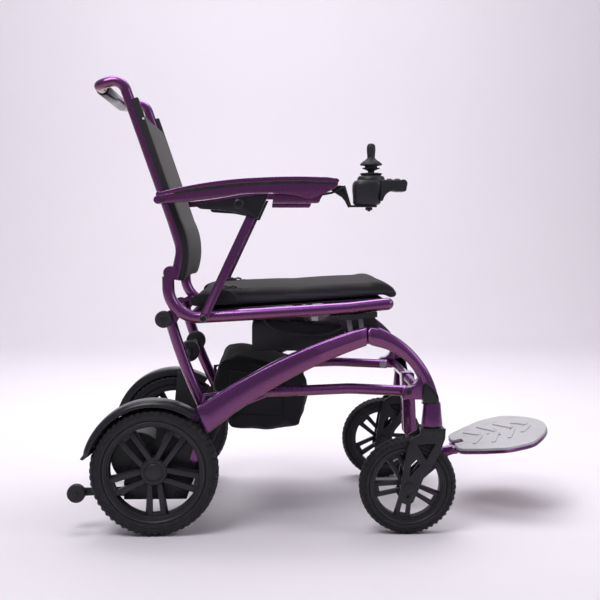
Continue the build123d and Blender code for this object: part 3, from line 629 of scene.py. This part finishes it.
def leg(side, name):
    """Curved front leg with the crease, the knuckle for the lower link and the caster barrel."""
    node = "front_leg_" + name
    bm = bmesh.new()
    top = [(435.4, 421.5), (441, 425.2)] + arc((453, 425), (526, 379), (582, 268), 26)
    bottom = [(434.6, 396), (440, 389)] + arc((453, 385), (514, 354), (548, 268), 26)
    ridged(bm, top, bottom, side, 240, 271, 0.5)
    bm.normal_update()
    ease(bm, 1.6, 2, 34)
    knuckle = path((552, 320), (552, 277), (514, 278), (507, 287, 506, 279), (516, 303, 509, 297),
                   (536, 332, 531, 308))
    fresh = slab(bm, knuckle, side * 240.3, side * 268)
    edges = {e for v in fresh for e in v.link_edges if len(e.link_faces) == 2 and e.calc_face_angle() > 0.6}
    ease(bm, 3.0, 3, edges=list(edges))
    stem = row(567.5, side * HALF_TRACK / MM, 0)
    barrel = [(9.2, 221), (20.4, 221), (21.6, 222.4), (21.8, 226), (17.9, 266), (17.2, 270), (15, 272),
              (9.2, 272)]
    turned(bm, barrel, stem, 48, axis=(0, 0, 1), start=(1, 0, 0))
    make(node + "_body", bm, violet, "front_legs", (node,), smooth=30.0)
    cap = bmesh.new()
    face = path((549, 269.5), (549, 309, 546, 292), (556, 312, 551, 313), (580, 271, 572, 298))
    slab(cap, face, side * 258, side * 273.4)
    ease(cap, 3.4, 4)
    return make("leg_cap_" + name, cap, gloss, "front_legs", ("leg_caps",) if side < 0 else ())


# ---------------------------------------------------------------- armrests

def arm(side, name):
    """Armrest: rounded upper rail, a black strip along the groove as its painted shade, tapering lower flank and
    the short rail under it.
    """
    node, y = "armrest_" + name, 249
    body = body_of[node]
    bm = bmesh.new()
    lower = path((18, 676), (176, 694, 100, 681.8), (296, 690, 240, 696), (318, 685, 310, 686), (350, 697),
                 (374, 710.5, 364, 704), (370, 715), (217, 715, 290, 717), (14, 691, 110, 706),
                 (18, 676, 4, 683), steps=12)
    slab(bm, lower, side * (y - 18), side * (y + 19))
    ease(bm, 3.4, 3, 40)
    make(node + "_flank", bm, violet, body, (node,), smooth=40.0)
    bm = bmesh.new()
    upper = path((10, 690), (17, 697.5, 9, 695), (217, 727, 110, 717), (340, 728, 280, 729),
                 (366, 725.6, 356, 727.4), (376, 720.5, 374, 723.5),
                 (373, 716.2), (217, 717.5, 290, 720), (60, 700.5, 130, 711), steps=12)
    slab(bm, upper, side * (y - 20), side * (y + 20))
    ease(bm, 3.6, 4, 40)
    make(node + "_rail", bm, violet, body, smooth=40.0)
    # Painted shade: a thin strip of black rubber along the groove line stands in for the shade inside the groove.
    bm = bmesh.new()
    seam = path((46, 701), (217, 720.5, 125, 712.5), (371, 719.4, 290, 722.4), (374, 713.5),
                (217, 712.6, 290, 714.6),
                (46, 693.5, 125, 704), steps=10)
    slab(bm, seam, side * (y - 18.8), side * (y + 19.4))
    make(node + "_groove_shade_strip", bm, rubber, body)
    bm = bmesh.new()
    under = path((242, 676), (330, 676), (338, 683, 336, 678), (344, 693), (244, 695))
    slab(bm, under, side * (y - 8), side * (y + 8))
    ease(bm, 1.6, 2)
    side_turned(bm, [(0.01, 0), (7, 0), (8.5, 1.4), (8.5, 7), (0.01, 7)], 21, 682, side, 222, 32)
    make(node + "_underrail", bm, violet, body)


# ---------------------------------------------------------------- soft goods

def seat_line(x):
    """Height of the cushion's seam above a place along its length, both in millimetres."""
    return 482 + 0.042 * (x - 80) if x < 470 else 498.4 - 0.05 * (x - 470)


def seat_cushion():
    """Foam seat cushion: flat underneath, crowned on top, with a seam round its sides and nose."""
    bm = bmesh.new()
    outline = path((82, 464.5), (77, 476, 74, 469), (112, 492, 88, 489), (298, 500, 205, 498),
                   (443, 508, 370, 505), (500, 499, 480, 509), (478, 488.5, 501, 490), (298, 475.5, 400, 483),
                   steps=7)
    slab(bm, outline, -216, 216)
    ease(bm, 7.0, 3, 40)
    cushion = make("cushion", bm, side_cloth, "main_frame")

    def rising(p):
        """0 on the flat underside, 1 once a point is 14 mm above it."""
        return min(1.0, max(0.0, ((p.z - row(0, 0, 470).z) / MM - (p.x - row(80, 0, 0).x) * 52) / 14))

    plump(cushion, 5.0, still=rising)
    def seam(p):
        if abs(p.y) < 0.150 and p.x < row(470, 0, 0).x:
            return None
        return p.z - row(0, 0, seat_line((p.x - AXLE_X) / MM)).z

    crease(cushion, 1.6, 2.6, seam)
    cushion.data.materials.append(top_cloth.material)
    for face in cushion.data.polygons:
        gap = face.center.z - row(0, 0, seat_line((face.center.x - AXLE_X) / MM)).z
        face.material_index = 1 if gap > 0 else 0
    finish_soft(cushion, 0.75, "seat_cushion")
    row(300, 0, 462)
    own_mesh(cushion)


def finish_soft(piece, fill, *stands_for):
    """One level of subdivision, then the CAD parts that a padded piece stands for are hidden."""
    sub = piece.modifiers.new("round", "SUBSURF")
    sub.levels = sub.render_levels = 1
    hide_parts(*stands_for)


def back_sling():
    """Padded back panel in front of the posts, with dark edge sleeves that cover half of each post."""
    bm = bmesh.new()
    outline = path((-38, 862), (-27, 866), (50, 643), (56, 516, 67, 582), (47, 512), (38, 642, 56, 578),
                   steps=10)
    slab(bm, outline, -214, 214)
    ease(bm, 3.6, 3, 40)
    sling = make("back_panel", bm, back_cloth, "backrest")
    plump(sling, 4.0, pressure=3.0)
    dark = mesh_fabric("back_edge_mesh", (0.003, 0.003, 0.004), (0.040, 0.037, 0.043), 0.0050,
                       (1.0, 0.0, 1.0), (1.0, 0.0, -1.0))
    sling.data.materials.append(dark.material)
    top = row(0, 0, 848).z
    for face in sling.data.polygons:
        face.material_index = 1 if abs(face.center.y) > 0.205 or face.center.z > top else 0
    for z in (620, 846):
        crease(sling, 1.0, 2.2, lambda p, z=z: p.z - row(0, 0, z).z)
    finish_soft(sling, 0.5, "back_cover")
    for name, side in SIDES.items():
        bm = bmesh.new()
        sleeve = path((-49, 886), (-31, 892), (53, 643), (58, 520, 69, 582), (48, 520), (36, 642, 55, 578),
                      steps=12)
        slab(bm, sleeve, side * 203, side * 218.4)
        ease(bm, 3.0, 3, 40)
        binding = make("back_sleeve_" + name, bm, dark, "backrest", smooth=60.0)
    bm = bmesh.new()
    slab(bm, [(-22, 846), (-18, 846), (-18, 850), (-22, 850)], -219.2, -218.2)
    make("back_tag", bm, webbing("tag_white", (0.55, 0.54, 0.56), (0.75, 0.74, 0.76)), "backrest")


def lap_belt():
    """Belt pads beside the cushion, and the folded belt end lying on its rear corner."""
    for name, side in SIDES.items():
        bm = bmesh.new()
        slab(bm, path((78, 466), (76, 484, 73, 476), (108, 495, 89, 492), (158, 497, 135, 502),
                      (172, 472, 170, 486)), side * 224.5, side * 233.5)
        ease(bm, 3.0, 3)
        pad = make("belt_pad_" + name, bm, bag_cloth, "main_frame")
        plump(pad, 3.0, pressure=3.0, voxel=0.003)
        finish_soft(pad, 0.5, *(["lap_belt"] if side < 0 else []))
        bm = bmesh.new()
        for layer, (start, reach, rise) in enumerate(((120, 62, 0.0), (124, 58, 5.0), (128, 40, 10.0))):
            top = [(start + reach * i / 9, 496 + rise + 1.3 * math.sin(i * 1.7 + layer)) for i in range(10)]
            fold = top + [(x, z - 3.4) for x, z in reversed(top)]
            slab(bm, fold, side * (158 + 2 * layer), side * (200 - 3 * layer))
        ease(bm, 1.0, 2, 40)
        strip = make("belt_end_" + name, bm, strap_black, "main_frame", smooth=50.0)
        row(150, 0, 484)
        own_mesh(strip)


def storage_bag():
    """Soft bag slung behind the battery: swollen, wrinkled body with two pressed seams, and a side pocket on each
    side.
    """
    bm = bmesh.new()
    outline = path((112, 296), (124, 330), (140, 350, 130, 345), (178, 346), (262, 323), (289, 316),
                   (308, 314), (317, 303, 317, 311), (311, 262), (300, 216), (292, 207, 299, 209), (222, 199),
                   (150, 203), (140, 250))
    slab(bm, outline, -165, 165)
    ease(bm, 5.0, 2, 25)
    bag = make("bag_body", bm, bag_cloth, "main_frame")
    plump(bag, 7.0, pressure=2.5, voxel=0.006)
    for v in bag.data.vertices:
        depth = max(0.0, min(1.0, (row(0, 0, 330).z - v.co.z) / 0.1))
        wrinkle = 1.3 * math.sin(v.co.x * 95 + v.co.z * 60) * math.sin(v.co.y * 40 + v.co.z * 70)
        v.co += v.normal * MM * wrinkle * depth
    crease(bag, 1.6, 2.6, lambda p: p.z - row(0, 0, 338 - 0.1 * (p.x - AXLE_X) / MM).z)
    crease(bag, 1.6, 2.6, lambda p: p.z - row(0, 0, 240).z)
    finish_soft(bag, 0.4, "storage_bag")
    for name, side in SIDES.items():
        bm = bmesh.new()
        slab(bm, [(150, 238), (262, 232), (262, 312), (150, 326)], side * 168, side * 175)
        ease(bm, 2.0, 3)
        pocket = make("bag_pocket_" + name, bm, bag_cloth, "main_frame")


def straps():
    """Webbing that carries the bag and the battery from the seat rails."""
    bm = bmesh.new()
    for side in SIDES.values():
        for x in (398, 422):
            slab(bm, [(x - 5, 441), (x + 5, 441), (x + 9, 413), (x - 1, 413)], side * 231.5, side * 233)
    ease(bm, 0.4, 1)
    make("battery_straps", bm, strap_grey, "main_frame")


# ---------------------------------------------------------------- footrest

SLOPE = math.radians(12.3)
PLATE = Matrix.Translation(row(655, 0, 130)) @ Matrix.Rotation(-SLOPE, 4, "Y")


def shield(bm, inset, z_low, z_high):
    """The footplate's plan, drawn in by inset, as a plate between two heights."""
    half = 165 - inset
    stops = [(inset, -80), (48, -128 + inset), (96, -half), (150, -half)]
    nose = [(216 - inset - (66 - inset) * (y / half)**2,
             y) for y in [half * (i / 12 - 1) for i in range(1, 24)]]
    outline = stops + nose + [(x, -y) for x, y in reversed(stops)]
    outline += [(inset, 19), (24, 19), (24, -19), (inset, -19)]
    flat = [bm.verts.new(Vector((x, y, z_low)) * MM) for x, y in outline]
    made = bmesh.ops.extrude_face_region(bm, geom=[bm.faces.new(flat)])["geom"]
    bmesh.ops.translate(bm, verts=verts_in(made), vec=(0, 0, (z_high - z_low) * MM))
    corners = [e for e in bm.edges
               if abs(e.verts[0].co.z - e.verts[1].co.z) > 1e-4 and e.calc_face_angle(0) > 0.3
               and abs(e.verts[0].co.y) > 0.05]
    bmesh.ops.bevel(bm, geom=corners, offset=16 * MM, offset_type="OFFSET", segments=6, profile=0.5,
                    affect="EDGES", clamp_overlap=True, material=-1)


def footplate():
    """Silver tread plate with raised chevrons and black discs as the painted shade of drain holes, on its painted
    tray.
    """
    bm = bmesh.new()
    shield(bm, 1.5, 1.0, 7.2)
    ease(bm, 1.6, 3, 40)
    for x, reach in ((66, 66), (104, 92), (142, 84), (178, 58)):
        for sign in (1, -1):
            a, b = Vector((x, sign * 10, 0)), Vector((x - 26, sign * reach, 0))
            along = (b - a).normalized()
            wide = Vector((-along.y, along.x, 0)) * 5.0
            corners = (a - wide, b - wide, b + wide, a + wide)
            verts = [bm.verts.new((corner + Vector((0, 0, 6.4))) * MM) for corner in corners]
            made = bmesh.ops.extrude_face_region(bm, geom=[bm.faces.new(verts)])["geom"]
            rise = verts_in(made)
            bmesh.ops.translate(bm, verts=rise, vec=(0, 0, 3.2 * MM))
            edges = {e for v in rise for e in v.link_edges}
            bmesh.ops.bevel(bm, geom=list(edges), offset=1.2 * MM, offset_type="OFFSET", segments=2,
                            profile=0.5, affect="EDGES", clamp_overlap=True, material=-1)
    bmesh.ops.transform(bm, matrix=PLATE, verts=bm.verts)
    make("tread_plate", bm, silver, "footplate", ("footplate",), smooth=35.0)
    bm = bmesh.new()
    shield(bm, 0.3, -6.0, 1.2)
    ease(bm, 2.0, 3, 40)
    for y in (-24, 24):
        lug = [(-5, -9), (9, -9), (13, 2), (-5, 0)]
        flat = [bm.verts.new(Vector((x, y - 7, z)) * MM) for x, z in lug]
        made = bmesh.ops.extrude_face_region(bm, geom=[bm.faces.new(flat)])["geom"]
        bmesh.ops.translate(bm, verts=verts_in(made), vec=(0, 14 * MM, 0))
    bmesh.ops.transform(bm, matrix=PLATE, verts=bm.verts)
    make("tray", bm, violet, "footplate", ("footplate_frame",), smooth=35.0)
    # Painted shade: flat black discs on the plate stand in for the dark inside of drain holes.
    bm = bmesh.new()
    for x, y in ((84, 0), (104, 34), (104, -34), (138, 0)):
        bmesh.ops.create_cone(bm, cap_ends=True, segments=20, radius1=3.4 * MM, radius2=3.4 * MM,
                              depth=1.2 * MM, matrix=PLATE @ Matrix.Translation(Vector((x, y, 7.0)) * MM))
    make("drain_hole_shade_discs", bm, plastic, "footplate")


# ---------------------------------------------------------------- controller

def rounded_rings(bm, rings, power=3.2, sides=48):
    """Loft rounded squares given as (centre x, centre y, z, half x, half y)."""
    loops = []
    for cx, cy, z, hx, hy in rings:
        loop = bmesh.ops.create_circle(bm, segments=sides, radius=1.0)["verts"]
        for v in loop:
            c, s = v.co.x, v.co.y
            x = math.copysign(abs(c) ** (2 / power), c) * hx
            y = math.copysign(abs(s) ** (2 / power), s) * hy
            v.co = row(cx + x, cy + y, z)
        loops.append(loop)
    bm.faces.new(loops[0])
    bm.faces.new(loops[-1])
    for a, b in zip(loops, loops[1:]):
        edges = {e for v in (*a, *b) for e in v.link_edges if e.verts[0] in a and e.verts[1] in a
                 or e.verts[0] in b and e.verts[1] in b}
        bmesh.ops.bridge_loops(bm, edges=list(edges))


def controller():
    """Joystick housing: rounded body, switch deck, collar, button bezels, lamps and the fixing screw."""
    body, y = "armrest_right", -249
    bm = bmesh.new()
    rounded_rings(bm, [(432, y, 672.2, 22, 22), (432, y, 673.4, 25, 25), (432.5, y, 676, 27.5, 27.5),
                       (433, y, 692, 28.6, 29.6), (433.5, y, 702, 30, 31), (434, y, 712, 30.6, 31.6),
                       (435, y, 718, 29.6, 30.6), (436, y, 721.4, 27, 28), (438, y, 722.6, 23, 24),
                       (441, y, 722.6, 15, 15), (441, y, 712, 14, 14)])
    ease(bm, 0.6, 2, 50)
    deck = path((458, 722.4), (500, 722.4), (512, 714, 510, 720.5), (510, 704), (503, 699.4, 508.5, 700),
                (484, 700.5, 494, 699), (463, 680, 470, 694), (458, 680))
    fresh = slab(bm, deck, y - 28, y + 28)
    edges = {e for v in fresh for e in v.link_edges if len(e.link_faces) == 2 and e.calc_face_angle() > 0.5}
    ease(bm, 5.0, 4, edges=list(edges))
    turned(bm, [(14.5, 722), (28, 722), (27.6, 726), (25.6, 729.6), (23.4, 731), (14.5, 731)], row(441, y, 0),
           56, axis=(0, 0, 1), start=(1, 0, 0))
    make("controller_shell", bm, plastic, body, ("controller_pod",), smooth=42.0)
    bm = bmesh.new()
    for x in (478, 494):
        turned(bm, [(5.3, 722.2), (7.4, 722.2), (7.2, 723.6), (6.4, 724.2), (5.6, 723.8)], row(x, y, 0), 32,
               axis=(0, 0, 1), start=(1, 0, 0))
    for i in range(5):
        bmesh.ops.create_cube(bm, size=1.0, matrix=Matrix.Translation(row(466 + 6 * i, y - 17, 722.6))
                              @ Matrix.Diagonal((3.6 * MM, 2.0 * MM, 1.2 * MM, 1.0)))
    ease(bm, 0.3, 1)
    make("switch_bezels", bm, gloss, body)
    bm = bmesh.new()
    turned(bm, [(0.01, 662), (6.6, 662), (7.2, 662.8), (7.2, 667.6), (0.01, 667.6)], row(437, y, 0), 6,
           axis=(0, 0, 1), start=(1, 0, 0))
    turned(bm, [(0.01, 659.5), (3.2, 659.5), (3.2, 662), (0.01, 662)], row(437, y, 0), 16, axis=(0, 0, 1),
           start=(1, 0, 0))
    make("controller_screw", bm, metal_black, body)


def bracket_gusset():
    """Folded web that stiffens the controller's bracket under the armrest's nose."""
    bm = bmesh.new()
    slab(bm, path((360, 702), (376, 712), (386, 711), (392, 690), (399, 668), (395, 667), (388, 681),
                  (382, 688)), -256, -242)
    ease(bm, 1.2, 2)
    make("controller_gusset", bm, metal_black, "armrest_right")


def boot_and_stick():
    """Pleated rubber boot and the waisted knob."""
    y = -249
    up = {"axis": (0, 0, 1), "start": (1, 0, 0), "steps": 56}
    bm = bmesh.new()
    foot = [(9.8, 729), (20, 732), (22.2, 734.4), (22.3, 735.6), (20.6, 736.6), (14, 737.2), (9.8, 737.4)]
    turned(bm, foot, row(441, y, 0), **up)
    make("boot_base", bm, soft_rubber, "armrest_right", ("joystick_boot",))
    bm = bmesh.new()
    turned(bm, [(0.01, 724), (4, 724), (4, 731), (6.6, 733), (6.6, 741), (11.5, 743.4), (17.0, 745.0),
                (17.8, 746.0), (17.0, 747.0), (12.6, 748.0), (12.2, 749.6), (13, 750.8), (21.4, 752.2),
                (22.6, 753.4), (21.6, 755.6), (16.5, 760.0), (11.2, 763.4), (8.2, 766.4), (7.7, 768.5),
                (8.0, 773), (8.7, 780), (8.9, 786), (8.3, 791), (6.4, 794.6), (3.8, 796.0), (0.01, 796.2)],
           row(441, y, 0), **up)
    make("stick_and_knob", bm, soft_rubber, "joystick", ("joystick",), smooth=50.0)


def push_grip():
    """Smooth, glossy sleeve on the push bar."""
    bm = bmesh.new()
    turned(bm, [(11.1, -150), (12.6, -150), (13.8, -148), (13.8, 148), (12.6, 150), (11.1, 150)],
           row(-112, 0, 916), 48)
    make("grip_sleeve", bm, gloss, "backrest", ("push_grip",), smooth=50.0)


def seat_struts():
    """Oval struts behind the seat, joined to the rear tube."""
    bm = bmesh.new()
    for side in SIDES.values():
        line = arc((27, 448), (62, 338), (103, 244), 18)
        bar(bm, [row(x, side * 200, z) for x, z in line], 12.0, 24)
    make("strut_tubes", bm, violet, "main_frame", smooth=60.0)


# ---------------------------------------------------------------- fasteners

def socket_screw(bm, x, z, side, y, radius, height):
    """Domed cap screw with a hexagon socket, its head standing out from y."""
    side_turned(bm, [(0.01, -0.5), (radius, -0.5), (radius, height * 0.5), (radius * 0.82, height * 0.9),
                     (radius * 0.56, height), (radius * 0.5, height * 0.35), (0.01, height * 0.35)], x, z,
                side, y, 24)


def screws():
    """Fasteners of every body, in one piece per body."""
    groups = {"main_frame": [(101, 443, 257, 7.0, 3.2), (18, 439, 230, 7.5, 1.6), (-50, 78, 229, 4.2, 2),
                             (44, 78, 229, 4.2, 2), (120, 240, 231, 6.5, 1.4)],
              "front_legs": [(518, 293, 267.6, 6.2, 1.8)], "backrest": [(34, 535, 219, 5, 0.8)],}
    for body, heads in groups.items():
        bm = bmesh.new()
        for side in SIDES.values():
            for x, z, y, radius, height in heads:
                socket_screw(bm, x, z, side, y, radius, height)
        make("screws_" + body, bm, metal_black, body)
    for name, side in SIDES.items():
        for body, x, z, y, radius, height in (("arm_clamp_" + name, 174, 674, 263, 10.4, 4.4),
                                              ("armrest_" + name, 21, 683, 267, 6, 1.6),
                                              ("caster_fork_" + name, 518, 100, 286.6, 8, 1.6),
                                              ("anti_tip_wheel_" + name, -165, 78, 229.5, 7, 1.4)):
            bm = bmesh.new()
            socket_screw(bm, x, z, side, y, radius, height)
            make("screw_" + body, bm, metal_black, body)


# ---------------------------------------------------------------- camera, light and floor

def stage():
    """Camera, four soft lamps, an even pale surround, and paper that sweeps up behind the object."""
    scene = bpy.context.scene
    camera = bpy.data.cameras.new("camera")
    camera.lens = 65.19
    camera.sensor_width = 36.0
    eye = bpy.data.objects.new("camera", camera)
    eye.location = row(234.4, -2452.1, 625.9)
    eye.rotation_euler = (math.pi / 2 - 0.0661, 0.0, -0.0286)
    scene.collection.objects.link(eye)
    scene.camera = eye
    scene.view_settings.view_transform = "Standard"

    world = bpy.data.worlds.new("studio")
    world.use_nodes = True
    background = world.node_tree.nodes["Background"]
    background.inputs["Color"].default_value = rgb(0.86, 0.82, 0.92)
    background.inputs["Strength"].default_value = 0.31
    scene.world = world

    def lamp(name, spot, size, power, target=(200, 0, 350)):
        light = bpy.data.lights.new(name, "AREA")
        light.shape = "DISK"
        light.size = size
        light.energy = power
        obj = bpy.data.objects.new(name, light)
        obj.location = row(*spot)
        obj.rotation_euler = (obj.location - row(*target)).to_track_quat("Z", "Y").to_euler()
        scene.collection.objects.link(obj)

    lamp("key", (-700, -1500, 2700), 1.5, 43.0)
    lamp("overhead", (300, 500, 3000), 2.4, 34.0)
    lamp("side", (2300, -900, 1500), 1.4, 12.0)
    lamp("wall", (200, 1500, 3200), 4.0, 103.0, target=(200, 4200, 700))

    bm = bmesh.new()
    bends = [math.radians(degrees) for degrees in range(10, 91, 10)]
    cove = [(3.2 + 1.4 * math.sin(bend), 1.4 - 1.4 * math.cos(bend)) for bend in bends]
    sweep = [(-7.0, 0.0), (3.2, 0.0)] + cove + [(4.6, 7.0)]
    edge = [bm.verts.new((-8.0, y, z)) for y, z in sweep]
    edges = [bm.edges.new(pair) for pair in zip(edge, edge[1:])]
    far = bmesh.ops.extrude_edge_only(bm, edges=edges)["geom"]
    bmesh.ops.translate(bm, verts=verts_in(far), vec=(16.0, 0.0, 0.0))
    bmesh.ops.recalc_face_normals(bm, faces=bm.faces)
    mesh = bpy.data.meshes.new("studio_sweep")
    bm.to_mesh(mesh)
    bm.free()
    mesh.shade_smooth()
    floor = bpy.data.objects.new("studio_sweep", mesh)
    scene.collection.objects.link(floor)
    f = Finish("studio_paper", "silver")
    f.set(Base_Color=f.mix(f.noise(1.5), rgb(0.77, 0.73, 0.79), rgb(0.80, 0.76, 0.82)), Roughness=0.6)
    mesh.materials.append(f.material)


stage()
for node, piece in nodes.items():
    piece.data.materials.clear()
    piece.data.materials.append(SLOT_FINISH[slot_of[node]].material)

for name, side in SIDES.items():
    tyre("drive_tyre_" + name, side, 0, AXLE_Z / MM, 131.5, 105, 23, 58)
    tyre("caster_tyre_" + name, side, WHEEL_BASE / MM, CASTER_Z / MM, 100.0, 79, 20, 50)
    drive_rim(side, name)
    caster_rim(side, name)
    fender(side, name)
    beam(side, name)
    leg(side, name)
    arm(side, name)
    softened("caster_fork_" + name, 1.0)
    softened("arm_clamp_" + name, 2.2, gloss)
    softened("arm_strut_" + name, 1.6)
seat_cushion()
back_sling()
lap_belt()
storage_bag()
straps()
footplate()
controller()
bracket_gusset()
boot_and_stick()
push_grip()
seat_struts()
screws()
for node, width in (("motor_mounts", 1.2), ("anti_tip_arms", 1.0), ("seat_brackets", 1.5),
                    ("battery_box", 2.0), ("controller_bracket", 0.8), ("seat_base", 1.0),
                    ("footrest_hanger", 1.5), ("link_guides", 0.8)):
    softened(node, width)
